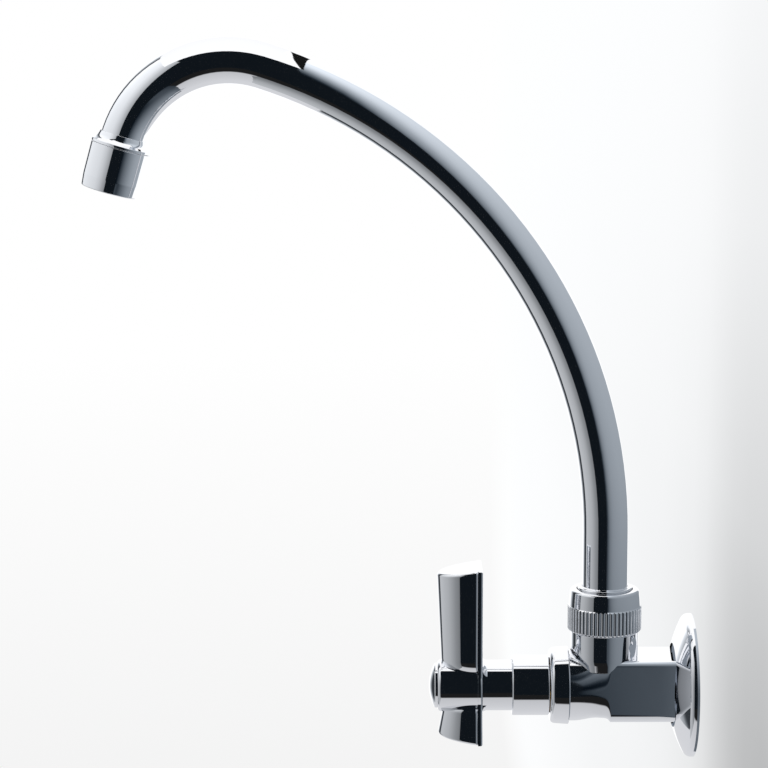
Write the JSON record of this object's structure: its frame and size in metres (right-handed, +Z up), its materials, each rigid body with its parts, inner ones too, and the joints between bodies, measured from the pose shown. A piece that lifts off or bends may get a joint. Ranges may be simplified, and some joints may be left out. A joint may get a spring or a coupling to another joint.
{
  "type": "wall-mounted kitchen tap",
  "caption": "Wall-mounted kitchen tap with a swivelling gooseneck spout, knurled union nut, square body, round wall plate and an upright lever handle.",
  "frame": {"origin": "on the axis of the inlet's thread, in the plane of the wall", "axes": "+X into the wall along the inlet, +Z up; the spout and the handle point to -X"},
  "size_m": [0.2679, 0.0602, 0.3014],
  "materials": {
    "chrome_plate": "polished chrome plate on brass and zinc",
    "brass": "machined",
    "acetal": "moulded white acetal",
    "rubber": "moulded black rubber",
    "stainless_steel": "bright stainless steel",
    "ceramic": "lapped white ceramic"
  },
  "bodies": {
    "root": {"tap_body": "chrome_plate", "escutcheon": "chrome_plate", "spout_nut": "chrome_plate", "nut_slip_ring": "acetal", "spout_thrust_washer": "acetal", "bonnet_collar": "chrome_plate", "bonnet_sleeve": "chrome_plate", "cartridge_body": "brass", "cartridge_cage": "acetal", "cartridge_o_ring": "rubber", "seat_seal": "rubber", "fixed_disc": "ceramic", "stem_slip_washer": "acetal"},
    "handle": {"moving_disc": "ceramic", "cartridge_stem": "brass", "stem_o_rings": "rubber", "stem_circlip": "stainless_steel", "spline_insert": "acetal", "handle_back_plate": "chrome_plate", "handle_lever": "chrome_plate", "handle_screw": "stainless_steel", "handle_cap": "chrome_plate", "cap_o_ring": "rubber"},
    "spout": {"spout_spigot": "chrome_plate", "spigot_o_rings": "rubber", "spout_tube": "chrome_plate", "spout_tip": "chrome_plate", "aerator_housing": "chrome_plate", "aerator_gasket": "rubber", "aerator_insert": "acetal", "aerator_screens": "stainless_steel"}
  },
  "joints": [
    {"name": "spout_swivel", "type": "hinge", "parent": "root", "child": "spout", "pos_m": [-0.037, 0, 0], "axis": [0, 0, 1], "range_deg": [-90, 90]},
    {"name": "handle_turn", "type": "hinge", "parent": "root", "child": "handle", "pos_m": [-0.037, 0, 0], "axis": [-1, 0, 0], "range_deg": [0, 90]}
  ]
}
